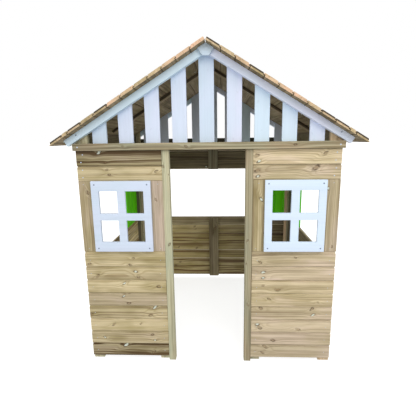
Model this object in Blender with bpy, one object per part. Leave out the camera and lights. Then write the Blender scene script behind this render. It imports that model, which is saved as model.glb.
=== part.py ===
"""A child's wooden playhouse: a gabled timber cabin with an open doorway, two framed windows, a wide
opening in each of the other walls, and a boarded roof.

Metres, +Z up. The origin is on the ground at the middle of the house, and the doorway faces -Y.
Each wall is built in a frame of its own, where X runs along the wall, Y goes inwards from the
cladding's outer face, and Z is up. An empty turns that frame to its side of the house.
"""

import math

import bmesh
import bpy

# Driving dimensions.
WALL_WIDTH = 1.450  # front and back walls, over the cladding
HOUSE_DEPTH = 1.295  # front cladding's face to back cladding's face
FOOT_HEIGHT = 0.025  # how far the battens stand out below the cladding
BOARD_COVER = 0.0838  # height that one cladding board shows
BOARD_THICK = 0.016
WALL_BOARDS = 15  # boards in the height of the front wall
SILL_BOARDS = 8  # of those, below the front windows
JAMB_BOARDS = 5  # and beside them
HALF_WALL_BOARDS = 7  # boards below the openings of the back and side walls
BATTEN_WIDE = 0.064
BATTEN_THICK = 0.028
DOOR_WIDTH = 0.418
POST_WIDE = 0.040
BEAM_DEEP = 0.038  # header and rafters, from outside to inside
HEADER_HIGH = 0.038
BACK_HEADER_HIGH = 0.060  # cut to the slope of the rafters at its ends
RAFTER_HIGH = 0.037
SLAT_WIDE = 0.080
SLAT_PITCH = 0.1475
SLAT_COUNT = 9
SLAT_LIFT = 0.006  # feet of the slats above the top of the wall
ROOF_SLOPE = math.atan(0.6105)
APEX_HEIGHT = 1.811  # underside of the roof at the ridge
ROOF_LENGTH = 0.963  # ridge to eave, along the slope
ROOF_COVER = 0.0844  # width that one roof board shows
ROOF_BOARDS = 10  # full boards from the ridge down
ROOF_FILLER = 0.0385  # the narrow board below them, with one more full board at the eave
ROOF_OVERHANG = 0.085  # past the cladding, front and back

# Smaller dimensions.
GAP = 0.0003  # between pieces that touch
GROOVE_DEEP = 0.004  # V-joint between two boards, outside
GROOVE_HALF = 0.0035
INNER_GROOVE_DEEP = 0.002
INNER_GROOVE_HALF = 0.002
POST_PROUD = 0.003  # door post in front of the cladding
BEAM_PROUD = 0.022  # header and rafters in front of the cladding
HEADER_HALF = 0.732
RAFTER_END = 0.776  # top corner of a rafter's foot, from the middle of the house
TOP_LIP = 0.009  # bare tongue of the last board below a window
INNER_BATTEN_WIDE = 0.055
CENTRE_BATTEN_WIDE = 0.088
CENTRE_BATTEN_SHORT = 0.009  # its top below the top of the boards
WINDOW_FRAME_CENTRE = 0.4825
WINDOW_FRAME_THICK = 0.018
WINDOW_FRAME_LIFT = 0.003  # above the last board below it
PANE_WIDE, PANE_HIGH = 0.103, 0.127
MULLION, TRANSOM = 0.045, 0.040  # bars between the panes: upright and level
STILE, RAIL = 0.042, 0.057  # borders of the window frame: sides, and top and bottom
LINTEL_BOTTOM = 1.063  # boards above the openings of the back and side walls
LINTEL_JOINT = 1.142  # lowest joint between those boards
SIDE_TOP = 1.366  # side walls, up to the roof boards
BACK_GREEN_WIDE = 0.300
SIDE_GREEN_WIDE = 0.375
GREEN_BOARDS = 4  # upright boards in a green panel
PLATE_THICK = 0.016
PLATE_HALF_TOP, PLATE_HALF_FOOT, PLATE_HIGH = 0.042, 0.018, 0.061

# Worked out from them.
HALF_WIDTH = WALL_WIDTH / 2
HALF_DEPTH = HOUSE_DEPTH / 2
WALL_TOP = FOOT_HEIGHT + WALL_BOARDS * BOARD_COVER
SILL_TOP = FOOT_HEIGHT + SILL_BOARDS * BOARD_COVER + TOP_LIP
UPPER_BOTTOM = FOOT_HEIGHT + (SILL_BOARDS + JAMB_BOARDS) * BOARD_COVER
HALF_WALL_TOP = FOOT_HEIGHT + HALF_WALL_BOARDS * BOARD_COVER
DOOR_HALF = DOOR_WIDTH / 2
CLAD_START = DOOR_HALF + POST_WIDE + GAP
BATTEN_FRONT = BOARD_THICK + GAP
BATTEN_BACK = BATTEN_FRONT + BATTEN_THICK
BEAM_BACK = BEAM_DEEP - BEAM_PROUD
SLAT_FRONT = BEAM_BACK + GAP
SIDE_HALF = HALF_DEPTH - BATTEN_BACK - GAP  # half the length of a side wall's boards
SLOPE_TAN = math.tan(ROOF_SLOPE)

QUARTER_TURN = math.pi / 2


def clear_scene():
    for old in list(bpy.data.objects):
        bpy.data.objects.remove(old, do_unlink=True)


def make_material(name, colour, roughness):
    material = bpy.data.materials.new(name)
    material.use_nodes = True
    shader = material.node_tree.nodes["Principled BSDF"]
    shader.inputs["Base Color"].default_value = (*colour, 1.0)
    shader.inputs["Roughness"].default_value = roughness
    shader.inputs["Metallic"].default_value = 0.0
    return material


def wall_frame(name, place, turn):
    """The empty that carries one wall, at the middle of its outer face on the ground."""
    empty = bpy.data.objects.new(name, None)
    empty.location = place
    empty.rotation_euler = (0.0, 0.0, turn)
    HOUSE.objects.link(empty)
    return empty


def place(obj, parent, material):
    obj.data.materials.append(material)
    obj.parent = parent
    HOUSE.objects.link(obj)
    return obj


def add_box(name, xs, ys, zs, parent, material):
    """A squared timber between the two limits along each axis."""
    mesh = bpy.data.meshes.new(name)
    shape = bmesh.new()
    bmesh.ops.create_cube(shape, size=1.0)
    bmesh.ops.scale(shape, vec=[high - low for low, high in (xs, ys, zs)], verts=shape.verts)
    shape.to_mesh(mesh)
    shape.free()
    obj = bpy.data.objects.new(name, mesh)
    obj.location = [(low + high) / 2 for low, high in (xs, ys, zs)]
    return place(obj, parent, material)


def add_outline(name, outlines, thick, location, rotation, parent, material):
    """A flat outline, with any holes, thickened by the same amount to both sides."""
    curve = bpy.data.curves.new(name, "CURVE")
    curve.dimensions = "2D"
    curve.fill_mode = "BOTH"
    curve.extrude = thick / 2
    for points in outlines:
        spline = curve.splines.new("POLY")
        spline.points.add(len(points) - 1)
        spline.use_cyclic_u = True
        for point, (across, along) in zip(spline.points, points):
            point.co = (across, along, 0.0, 1.0)
    obj = bpy.data.objects.new(name, curve)
    obj.location = location
    obj.rotation_euler = rotation
    return place(obj, parent, material)


def add_face(name, outlines, depths, parent, material):
    """An outline in the plane of the wall, X and Z, between two depths."""
    near, far = depths
    middle = (0.0, (near + far) / 2, 0.0)
    return add_outline(name, outlines, far - near, middle, (QUARTER_TURN, 0.0, 0.0), parent, material)


def boards_outline(edges):
    """Cross-section of boards side by side, as (place along the stack, depth), joined at V-grooves."""
    start, *joints, end = edges
    outer = [(start, 0.0)]
    inner = [(start, BOARD_THICK)]
    for joint in joints:
        for shift, depth in ((-GROOVE_HALF, 0.0), (0.0, GROOVE_DEEP), (GROOVE_HALF, 0.0)):
            outer.append((joint + shift, depth))
        for shift, depth in ((-INNER_GROOVE_HALF, 0.0), (0.0, INNER_GROOVE_DEEP), (INNER_GROOVE_HALF, 0.0)):
            inner.append((joint + shift, BOARD_THICK - depth))
    outer.append((end, 0.0))
    inner.append((end, BOARD_THICK))
    return outer + inner[::-1]


def add_level_boards(name, xs, edges, parent, material):
    """Boards that run along the wall, stacked between the heights in edges."""
    section = [(depth, height) for height, depth in boards_outline(edges)]
    middle = ((xs[0] + xs[1]) / 2, 0.0, 0.0)
    turn = (QUARTER_TURN, 0.0, QUARTER_TURN)
    return add_outline(name, [section], xs[1] - xs[0], middle, turn, parent, material)


def add_upright_boards(name, edges, zs, parent, material):
    """Boards that stand on end, side by side between the places in edges."""
    middle = (0.0, 0.0, (zs[0] + zs[1]) / 2)
    return add_outline(name, [boards_outline(edges)], zs[1] - zs[0], middle, (0, 0, 0), parent, material)


def side_span(side, near, far):
    """The span between two distances from the middle, on the side that is -1 or 1."""
    return (near, far) if side > 0 else (-far, -near)


def roof_height(x):
    """Height of the roof's underside at a distance from the middle of the house."""
    return APEX_HEIGHT - SLOPE_TAN * abs(x)


def under_roof(xs, bottom):
    """Outline of an upright piece whose top follows the roof."""
    left, right = xs
    top = [(right, roof_height(right) - GAP), (left, roof_height(left) - GAP)]
    if left < 0 < right:
        top.insert(1, (0.0, roof_height(0.0) - GAP))
    return [(left, bottom), (right, bottom), *top]


def rafter_outline(side):
    """A straight beam under the roof boards, cut upright at the ridge and square at its foot."""
    drop = RAFTER_HIGH / math.cos(ROOF_SLOPE)
    foot_shift = RAFTER_HIGH * math.sin(ROOF_SLOPE)
    foot_drop = RAFTER_HIGH * math.cos(ROOF_SLOPE)
    foot_top = roof_height(RAFTER_END) - GAP
    points = [
        (GAP, APEX_HEIGHT - GAP),
        (RAFTER_END, foot_top),
        (RAFTER_END - foot_shift, foot_top - foot_drop),
        (GAP, APEX_HEIGHT - GAP - drop),
    ]
    return [(side * x, z) for x, z in points]


def board_edges(low, count, cover):
    return [low + index * cover for index in range(count + 1)]


def header_outline(high):
    """A level beam on top of the wall, with the corners cut off where it would run into the rafters."""
    bottom = WALL_TOP + GAP
    underside = APEX_HEIGHT - RAFTER_HIGH / math.cos(ROOF_SLOPE) - 2 * GAP
    top = bottom + high
    shoulder = (underside - top) / SLOPE_TAN
    if shoulder < HEADER_HALF - GAP:
        cut = (HEADER_HALF, underside - SLOPE_TAN * HEADER_HALF)
        right = [(HEADER_HALF, bottom), cut, (shoulder, top)]
    else:
        right = [(HEADER_HALF, bottom), (HEADER_HALF, top)]
    left = [(-x, z) for x, z in reversed(right)]
    return right + left


def build_gable(end, parent, way, header_high):
    """Header, slats and rafters over one end wall. way is -1 where the wall's X runs to the house's -X."""
    beam = (-BEAM_PROUD, BEAM_BACK)
    add_face(end + "_header", [header_outline(header_high)], beam, parent, FRAME_TIMBER)
    for side, hand in HANDS:
        add_face(f"{end}_{hand}_rafter", [rafter_outline(side * way)], beam, parent, WHITE_PAINT)
    slat_depths = (SLAT_FRONT, SLAT_FRONT + BOARD_THICK)
    for index in range(SLAT_COUNT):
        middle = way * (index - SLAT_COUNT // 2) * SLAT_PITCH
        span = (middle - SLAT_WIDE / 2, middle + SLAT_WIDE / 2)
        outline = under_roof(span, WALL_TOP + SLAT_LIFT)
        add_face(f"{end}_slat_{index + 1}", [outline], slat_depths, parent, WHITE_PAINT)


def build_corner_battens(end, parent, way):
    for side, hand in HANDS:
        outline = under_roof(side_span(side * way, HALF_WIDTH - BATTEN_WIDE, HALF_WIDTH), 0.0)
        name = f"{end}_{hand}_corner_batten"
        add_face(name, [outline], (BATTEN_FRONT, BATTEN_BACK), parent, FRAME_TIMBER)


def rectangle(xs, zs):
    return [(xs[0], zs[0]), (xs[1], zs[0]), (xs[1], zs[1]), (xs[0], zs[1])]


def window_outlines(middle):
    """The frame's border and its four panes."""
    half_wide = STILE + PANE_WIDE + MULLION / 2
    bottom = SILL_TOP + WINDOW_FRAME_LIFT
    high = 2 * (RAIL + PANE_HIGH) + TRANSOM
    outlines = [rectangle((middle - half_wide, middle + half_wide), (bottom, bottom + high))]
    for column in (-1, 1):
        xs = sorted(middle + column * x for x in (MULLION / 2, MULLION / 2 + PANE_WIDE))
        for row in (0, 1):
            low = bottom + RAIL + row * (PANE_HIGH + TRANSOM)
            outlines.append(rectangle(xs, (low, low + PANE_HIGH)))
    return outlines


def build_front_side(side, hand):
    """The half of the front wall to one side of the doorway."""
    posts = (-POST_PROUD, POST_WIDE - POST_PROUD)
    span = side_span(side, DOOR_HALF, DOOR_HALF + POST_WIDE)
    add_box(hand + "_door_post", span, posts, (0.0, WALL_TOP), FRONT, FRAME_TIMBER)

    battens = (BATTEN_FRONT, BATTEN_BACK)
    span = side_span(side, CLAD_START, CLAD_START + INNER_BATTEN_WIDE)
    add_box(f"front_{hand}_inner_batten", span, battens, (0.0, WALL_TOP), FRONT, FRAME_TIMBER)

    span = side_span(side, CLAD_START, HALF_WIDTH)
    lower = board_edges(FOOT_HEIGHT, SILL_BOARDS, BOARD_COVER)
    lower[-1] = SILL_TOP
    add_level_boards(f"front_{hand}_lower_boards", span, lower, FRONT, CLADDING)
    upper_count = WALL_BOARDS - SILL_BOARDS - JAMB_BOARDS
    upper = board_edges(UPPER_BOTTOM, upper_count, BOARD_COVER)
    add_level_boards(f"front_{hand}_upper_boards", span, upper, FRONT, CLADDING)

    jamb_heights = (SILL_TOP + GAP, UPPER_BOTTOM - GAP)
    jambs = {
        "inner": (CLAD_START, CLAD_START + BOARD_COVER),
        "outer": (HALF_WIDTH - BOARD_COVER, HALF_WIDTH),
    }
    for which, (near, far) in jambs.items():
        name = f"front_{hand}_{which}_jamb_board"
        add_box(name, side_span(side, near, far), (0.0, BOARD_THICK), jamb_heights, FRONT, CLADDING)

    depths = (-GAP - WINDOW_FRAME_THICK, -GAP)
    add_face(hand + "_window_frame", window_outlines(side * WINDOW_FRAME_CENTRE), depths, FRONT, WHITE_PAINT)


def build_front():
    for side, hand in HANDS:
        build_front_side(side, hand)
    build_corner_battens("front", FRONT, 1)
    build_gable("front", FRONT, 1, HEADER_HIGH)
    top = APEX_HEIGHT - GAP
    corner = top - SLOPE_TAN * PLATE_HALF_TOP
    right = [(PLATE_HALF_TOP, corner), (PLATE_HALF_FOOT, top - PLATE_HIGH)]
    left = [(-x, z) for x, z in reversed(right)]
    near = -BEAM_PROUD - GAP - PLATE_THICK
    depths = (near, near + PLATE_THICK)
    add_face("front_apex_plate", [[(0.0, top), *right, *left]], depths, FRONT, WHITE_PAINT)


def half_wall_edges():
    return board_edges(FOOT_HEIGHT, HALF_WALL_BOARDS, BOARD_COVER)


def lintel_edges(top):
    """Full boards above the lowest one, and what is left of the height for the last one."""
    full = int((top - LINTEL_JOINT) / BOARD_COVER)
    return [LINTEL_BOTTOM, *board_edges(LINTEL_JOINT, full, BOARD_COVER), top]


def build_back():
    """Seen from outside, the back wall's X runs to the house's -X, so hands swap."""
    whole = (-HALF_WIDTH, HALF_WIDTH)
    add_level_boards("back_lower_boards", whole, half_wall_edges(), BACK, CLADDING)
    add_level_boards("back_upper_boards", whole, lintel_edges(WALL_TOP), BACK, CLADDING)
    half = CENTRE_BATTEN_WIDE / 2
    depths = (BATTEN_FRONT, BATTEN_BACK)
    heights = (FOOT_HEIGHT, HALF_WALL_TOP - CENTRE_BATTEN_SHORT)
    add_box("back_centre_batten", (-half, half), depths, heights, BACK, FRAME_TIMBER)
    cover = BACK_GREEN_WIDE / GREEN_BOARDS
    heights = (HALF_WALL_TOP + GAP, LINTEL_BOTTOM - GAP)
    for side, hand in HANDS:
        edges = board_edges(HALF_WIDTH - BACK_GREEN_WIDE, GREEN_BOARDS, cover)
        edges = sorted(-side * edge for edge in edges)
        add_upright_boards(f"back_{hand}_green_panel", edges, heights, BACK, GREEN_PAINT)
    build_corner_battens("back", BACK, -1)
    build_gable("back", BACK, -1, BACK_HEADER_HIGH)


def build_side(hand, parent, to_back):
    """A side wall. to_back is 1 where the wall's X runs to the back of the house."""
    whole = (-SIDE_HALF, SIDE_HALF)
    add_level_boards(hand + "_side_lower_boards", whole, half_wall_edges(), parent, CLADDING)
    add_level_boards(hand + "_side_upper_boards", whole, lintel_edges(SIDE_TOP), parent, CLADDING)
    cover = SIDE_GREEN_WIDE / GREEN_BOARDS
    edges = board_edges(SIDE_HALF - SIDE_GREEN_WIDE, GREEN_BOARDS, cover)
    edges = sorted(to_back * edge for edge in edges)
    heights = (HALF_WALL_TOP + GAP, LINTEL_BOTTOM - GAP)
    add_upright_boards(hand + "_side_green_panel", edges, heights, parent, GREEN_PAINT)
    depths = (BATTEN_FRONT, BATTEN_BACK)
    for end, way in (("front", -to_back), ("back", to_back)):
        span = side_span(way, SIDE_HALF - BATTEN_WIDE, SIDE_HALF)
        add_box(f"{hand}_side_{end}_batten", span, depths, (0.0, SIDE_TOP), parent, FRAME_TIMBER)


def build_roof():
    """Two decks of boards that run front to back. Their lower ridge corners meet, square-cut."""
    edges = board_edges(0.0, ROOF_BOARDS, ROOF_COVER)
    edges += [edges[-1] + ROOF_FILLER, ROOF_LENGTH]
    edges[0] = GAP
    section = [(along, BOARD_THICK - depth) for along, depth in boards_outline(edges)]
    long = HOUSE_DEPTH + 2 * ROOF_OVERHANG
    for side, hand in HANDS:
        points = [(side * along, rise) for along, rise in section]
        turn = (QUARTER_TURN, side * ROOF_SLOPE, 0.0)
        add_outline(f"roof_{hand}_boards", [points], long, (0.0, 0.0, APEX_HEIGHT), turn, None, ROOF_TIMBER)


HANDS = ((-1, "left"), (1, "right"))

clear_scene()
HOUSE = bpy.data.collections.new("playhouse")
bpy.context.scene.collection.children.link(HOUSE)

CLADDING = make_material("cladding_timber", (0.55, 0.43, 0.26), 0.75)
FRAME_TIMBER = make_material("frame_timber", (0.53, 0.46, 0.29), 0.75)
ROOF_TIMBER = make_material("roof_timber", (0.48, 0.38, 0.24), 0.80)
WHITE_PAINT = make_material("white_paint", (0.80, 0.85, 0.92), 0.45)
GREEN_PAINT = make_material("green_paint", (0.09, 0.42, 0.02), 0.45)

FRONT = wall_frame("front_wall", (0.0, -HALF_DEPTH, 0.0), 0.0)
BACK = wall_frame("back_wall", (0.0, HALF_DEPTH, 0.0), math.pi)
LEFT = wall_frame("left_wall", (-HALF_WIDTH, 0.0, 0.0), -QUARTER_TURN)
RIGHT = wall_frame("right_wall", (HALF_WIDTH, 0.0, 0.0), QUARTER_TURN)

build_front()
build_back()
build_side("left", LEFT, -1)
build_side("right", RIGHT, 1)
build_roof()
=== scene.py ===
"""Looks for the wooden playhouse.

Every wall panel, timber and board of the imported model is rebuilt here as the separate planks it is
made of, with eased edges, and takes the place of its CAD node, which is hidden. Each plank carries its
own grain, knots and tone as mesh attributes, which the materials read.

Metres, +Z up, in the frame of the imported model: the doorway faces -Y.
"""

import math
import random

import bmesh
import bpy
from mathutils import Matrix, Vector


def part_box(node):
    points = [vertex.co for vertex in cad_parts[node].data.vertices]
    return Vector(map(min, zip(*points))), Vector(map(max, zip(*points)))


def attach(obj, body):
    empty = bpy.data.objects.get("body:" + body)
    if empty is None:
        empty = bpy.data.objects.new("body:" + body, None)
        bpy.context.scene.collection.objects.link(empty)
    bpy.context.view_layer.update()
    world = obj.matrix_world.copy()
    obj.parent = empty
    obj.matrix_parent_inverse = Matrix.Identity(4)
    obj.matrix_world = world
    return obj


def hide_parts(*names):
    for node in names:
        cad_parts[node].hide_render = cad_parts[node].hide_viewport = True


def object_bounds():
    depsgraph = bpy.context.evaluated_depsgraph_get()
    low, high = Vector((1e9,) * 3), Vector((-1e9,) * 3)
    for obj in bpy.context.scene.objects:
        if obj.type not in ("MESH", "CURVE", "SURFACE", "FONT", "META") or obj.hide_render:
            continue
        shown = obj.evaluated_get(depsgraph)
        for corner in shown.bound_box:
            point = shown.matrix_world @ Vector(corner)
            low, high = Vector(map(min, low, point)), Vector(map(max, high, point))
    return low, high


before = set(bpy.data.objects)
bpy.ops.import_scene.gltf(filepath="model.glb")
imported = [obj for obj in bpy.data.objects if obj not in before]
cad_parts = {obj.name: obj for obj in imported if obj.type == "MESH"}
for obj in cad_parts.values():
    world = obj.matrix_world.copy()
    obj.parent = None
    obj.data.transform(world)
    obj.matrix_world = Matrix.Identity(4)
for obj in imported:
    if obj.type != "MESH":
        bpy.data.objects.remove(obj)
cad_low, cad_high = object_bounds()
random.seed(20)

RIGHT = Vector((1.0, 0.0, 0.0))
BACK = Vector((0.0, 1.0, 0.0))
UP = Vector((0.0, 0.0, 1.0))
FRONT = -BACK
LEFT = -RIGHT
SIDES = {"left": -1.0, "right": 1.0}
WALLS = (("front", FRONT), ("back", BACK))

# Shiplap boards.
LIP_THICK = 0.006  # front lip of a board, which hangs over the board below
LAP = 0.008  # how far it hangs over it
SCOOP_HIGH = 0.0095  # hollow along the top of a board's face
NOSE_HIGH, NOSE_DEEP = 0.009, 0.0034  # rounding along the bottom of the face
INNER_CHAMFER = 0.004  # on both edges of the inner face
LEDGE_HIGHLIGHT_HIGH = 0.004  # painted highlight: a paler strip along the upper edge of the inner face, where its ledge catches the light
FAINT_LEDGE_HIGHLIGHT = 0.3  # how pale that painted highlight usually is
FIT = 0.0004  # play between two boards
SHADOW_GAP = 0.0026  # between the lip and the hollow behind it
SHADED_EDGE = 0.007  # painted shadow along the upper edge of the last board, under the header
BOARD_EASE = 0.0008
TIMBER_EASE = 0.0022
PAINTED_EASE = 0.0018
SHARP = math.radians(25.0)  # edges sharper than this are eased
SHADE_SPLIT = math.radians(38.0)
ROOF_FINE = 0.45  # size of the joints on the underside of the roof, as a share of those of the walls
FRONT_SILL_BOARDS, FRONT_HEAD_BOARDS = 8, 2  # below each window and above it
SILL_BOARDS = 7  # below the openings in the other walls
BARE_LIP = 0.009  # bare part of a tongue along the lower edge of a window opening

# Fasteners.
NAIL_RADIUS = 0.0034
BRAD_RADIUS = 0.002
SCREW_RADIUS = 0.0042
HEAD_HIGH = 0.0011
ONE_NAIL = (0.45,)  # height of the nail in a board, as a share of the board's

# Looks. A tone is how light a plank is, pink above zero and green below it, and dark heartwood.
PLAIN = (0.0, 0.0, 0.0)
DULL = (0.7, 0.0, 0.0)  # makes zinc darker, for the blued screws
INSIDE_DARKEST, INSIDE_BRIGHTEST = -2.7, 2.6  # limits for the painted light and shade of an inner face
RING_SPACING = 0.0062  # between the growth rings of the wood
KNOT_MARKS = ("knot_a", "knot_b", "knot_c")


# ---- planks


def srgb(red, green, blue):
    """A colour given as it looks on a screen, 0 to 255, as the linear values that a shader takes."""

    def linear(value):
        share = value / 255.0
        return share / 12.92 if share <= 0.04045 else ((share + 0.055) / 1.055) ** 2.4

    return (linear(red), linear(green), linear(blue), 1.0)


def arc(centre, radii, start, end, steps):
    """Points on part of an ellipse, from one angle to another, in degrees."""
    points = []
    for step in range(steps + 1):
        angle = math.radians(start + (end - start) * step / steps)
        points.append((centre[0] + radii[0] * math.cos(angle), centre[1] + radii[1] * math.sin(angle)))
    return points


def inset(section, by):
    """The same outline, shrunk evenly. The outline runs anticlockwise."""
    shrunk = []
    count = len(section)
    for index, point in enumerate(section):
        here = Vector(point)
        before = (here - Vector(section[index - 1])).normalized()
        after = (Vector(section[(index + 1) % count]) - here).normalized()
        inward = Vector((-before.y - after.y, before.x + after.x))
        reach = max(0.35, inward.length_squared / 2.0)
        shrunk.append(tuple(here + inward * by / reach))
    return shrunk


def squared_section(wide, thick, radius, steps=2):
    """A rectangle with rounded corners, from its lower corner."""
    corners = (
        (wide - radius, radius, -90.0),
        (wide - radius, thick - radius, 0.0),
        (radius, thick - radius, 90.0),
        (radius, radius, 180.0),
    )
    section = []
    for across, out, turn in corners:
        section += arc((across, out), (radius, radius), turn, turn + 90.0, steps)
    return section


def shiplap_section(high, thick, tongue=LAP, fine=1.0):
    """A cladding board's cross-section, as (up, out): a rounded lower edge and a lip over the board below,
    then the flat face, and a hollow at the top with the tongue that goes behind the board above. fine
    scales the rounding and the hollow."""
    split = thick - LIP_THICK
    outline = [(LAP + INNER_CHAMFER, 0.0), (LAP, INNER_CHAMFER), (LAP, split), (0.0, split)]
    nose_high, nose_deep = NOSE_HIGH * fine, NOSE_DEEP * fine
    outline += arc((nose_high, thick - nose_deep), (nose_high, nose_deep), 180.0, 90.0, 5)
    if tongue:
        outline += arc((high, thick), (SCOOP_HIGH * fine, LIP_THICK + SHADOW_GAP), 180.0, 270.0, 5)
        top = high + tongue - FIT
        ledge = top - INNER_CHAMFER
        outline += [(top, split - SHADOW_GAP), (top, INNER_CHAMFER), (ledge, 0.0), (ledge - LEDGE_HIGHLIGHT_HIGH, 0.0)]
    else:
        ease = BOARD_EASE * 2.0
        outline += [(high - SHADED_EDGE, thick), (high - ease, thick), (high, thick - ease)]
        outline += [(high, ease), (high - ease, 0.0)]
    return outline[::-1]


def shiplap_joint(high, length, bare_top=False, ledge_highlight=FAINT_LEDGE_HIGHLIGHT, fine=1.0, under_beam=False):
    """How deep in a joint each place on a board of that height is, from 0 on its faces to 1, which the
    materials paint as shade, and below 0 on the upper edge of its inner face, by how pale the painted
    highlight there is."""

    def depth(place):
        at_end = min(place.x, length - place.x) < BOARD_EASE / 2.0
        if at_end or (bare_top and place.y > high / 2.0):
            return 0.0
        if place.y > high and place.z < NOSE_HIGH / 2.0:
            return -ledge_highlight
        if place.z < INNER_CHAMFER / 2.0:
            return 0.0
        if place.y < NOSE_HIGH / 40.0 or (place.y < LAP + FIT and place.z < NOSE_HIGH / 2.0):
            return 1.0
        # Under the header, a band along the last board's upper edge is painted dark, a painted shadow.
        if under_beam:
            return 1.0 if place.y > high - SHADED_EDGE / 2.0 else 0.0
        return min(1.0, max(0.0, (place.y - high) / (SCOOP_HIGH * fine) + 1.0))

    return depth


def plank_shape(section, length, ease=BOARD_EASE):
    """The cross-section, as (across, out), run along X, with the edges of both ends eased."""
    shape = bmesh.new()
    tight = inset(section, ease)
    rings = []
    for along, outline in ((0.0, tight), (ease, section), (length - ease, section), (length, tight)):
        rings.append([shape.verts.new((along, across, out)) for across, out in outline])
    for near, far in zip(rings, rings[1:]):
        for index in range(len(section)):
            following = (index + 1) % len(section)
            shape.faces.new((near[index], near[following], far[following], far[index]))
    shape.faces.new(rings[0])
    shape.faces.new(rings[-1])
    bmesh.ops.recalc_face_normals(shape, faces=shape.faces)
    return shape


def node_shape(node, ease):
    """A CAD node's solid with its flat faces joined up again and its edges eased."""
    shape = bmesh.new()
    shape.from_mesh(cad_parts[node].data)
    bmesh.ops.remove_doubles(shape, verts=shape.verts, dist=1e-5)
    bmesh.ops.dissolve_limit(shape, angle_limit=math.radians(1.0), verts=shape.verts, edges=shape.edges)
    ease_edges(shape, ease)
    return shape


def ease_edges(shape, ease):
    sharp = [edge for edge in shape.edges if edge.calc_face_angle(0.0) > SHARP]
    bmesh.ops.bevel(
        shape,
        geom=sharp,
        offset=ease,
        segments=3,
        profile=0.5,
        affect="EDGES",
        clamp_overlap=True,
    )


class Piece:
    """Planks gathered into one mesh. Every vertex keeps its place in its own plank's grain, with that
    plank's knots and tone."""

    def __init__(self):
        self.places = []
        self.faces = []
        self.marks = {name: [] for name in ("grain", *KNOT_MARKS, "tone")}
        self.darkened_end = []
        self.joint = []

    def add(self, shape, to_world, knots=(), tone=PLAIN, darkened_end=None, joint=None, local=None, pith=None):
        """Adds one plank. Its shape is in its own frame, with X along the grain, or local turns it to that
        frame. tone, the darkening of an end and the joint may be functions of a place on the shape."""
        nowhere = (-9.0, 0.0, 0.0)
        run = random.uniform(0.0, 60.0)
        pith = pith or (random.uniform(-0.02, 0.1), random.uniform(-0.07, -0.015))
        marks = [(run + along, across - pith[0], radius) for along, across, radius in knots]
        marks += [nowhere] * (len(KNOT_MARKS) - len(marks))
        first = len(self.places)
        shape.verts.index_update()
        for vert in shape.verts:
            place = local @ vert.co if local else vert.co
            self.places.append(to_world @ vert.co)
            self.marks["grain"].append((run + place.x, place.y - pith[0], place.z - pith[1]))
            for name, mark in zip(KNOT_MARKS, marks):
                self.marks[name].append(mark)
            self.marks["tone"].append(tone(vert.co) if callable(tone) else tone)
            self.darkened_end.append(darkened_end(vert.co) if darkened_end else 0.0)
            self.joint.append(joint(vert.co) if joint else 0.0)
        self.faces += [[first + vert.index for vert in face.verts] for face in shape.faces]
        shape.free()

    def finish(self, name, material, nodes=()):
        """Makes the object, which rides on the one body, and hides the CAD nodes named."""
        mesh = bpy.data.meshes.new(name)
        mesh.from_pydata(self.places, [], self.faces)
        for mark, values in self.marks.items():
            layer = mesh.attributes.new(mark, "FLOAT_VECTOR", "POINT")
            layer.data.foreach_set("vector", [part for value in values for part in value])
        for mark, values in (("darkened_end", self.darkened_end), ("joint", self.joint)):
            layer = mesh.attributes.new(mark, "FLOAT", "POINT")
            layer.data.foreach_set("value", values)
        mesh.shade_smooth()
        mesh.set_sharp_from_angle(angle=SHADE_SPLIT)
        mesh.materials.append(material)
        obj = new_object(name, mesh)
        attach(obj, "root")
        if nodes:
            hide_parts(*nodes)


def measure(node, along, outward):
    """The frame of a CAD node from its lowest corner, with X along the grain and Z outwards, and the
    node's size along its axes."""
    axes = (along, outward.cross(along), outward)
    points = [vert.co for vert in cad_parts[node].data.vertices]
    lows = [min(point.dot(axis) for point in points) for axis in axes]
    size = [max(point.dot(axis) for point in points) - low for axis, low in zip(axes, lows)]
    turn = Matrix(axes).transposed().to_4x4()
    corner = Vector((0.0, 0.0, 0.0))
    for axis, low in zip(axes, lows):
        corner += axis * low
    return Matrix.Translation(corner) @ turn, size


def random_knots(length, wide, chance=1.0, largest=0.009):
    """Up to three knots somewhere on a plank."""
    knots = []
    for _ in KNOT_MARKS:
        if random.random() < chance * length:
            along = random.uniform(0.04, 0.96) * length
            across = random.uniform(0.12, 0.88) * wide
            radius = random.uniform(0.35, 1.0) * largest * random.choice((1.0, 1.0, -1.0))
            knots.append((along, across, radius))
    return knots


def random_tone(light=0.0, hue=0.0, heart=0.15, spread=1.0):
    """How light a plank is, how pink or green, and how much dark heartwood it has."""
    return (
        light + spread * random.uniform(-0.4, 0.4),
        hue + spread * random.uniform(-0.5, 0.5),
        max(0.0, heart + spread * random.uniform(-0.15, 0.5)),
    )


# ---- materials


class Signal:
    """An output in a material's node tree. Arithmetic with it adds the nodes that work it out."""

    def __init__(self, net, node, output=0):
        self.net = net
        self.socket = node.outputs[output]

    def __add__(self, other):
        return self.net.math("ADD", self, other)

    def __sub__(self, other):
        return self.net.math("SUBTRACT", self, other)

    def __mul__(self, other):
        return self.net.math("MULTIPLY", self, other)

    def __truediv__(self, other):
        return self.net.math("DIVIDE", self, other)


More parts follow.
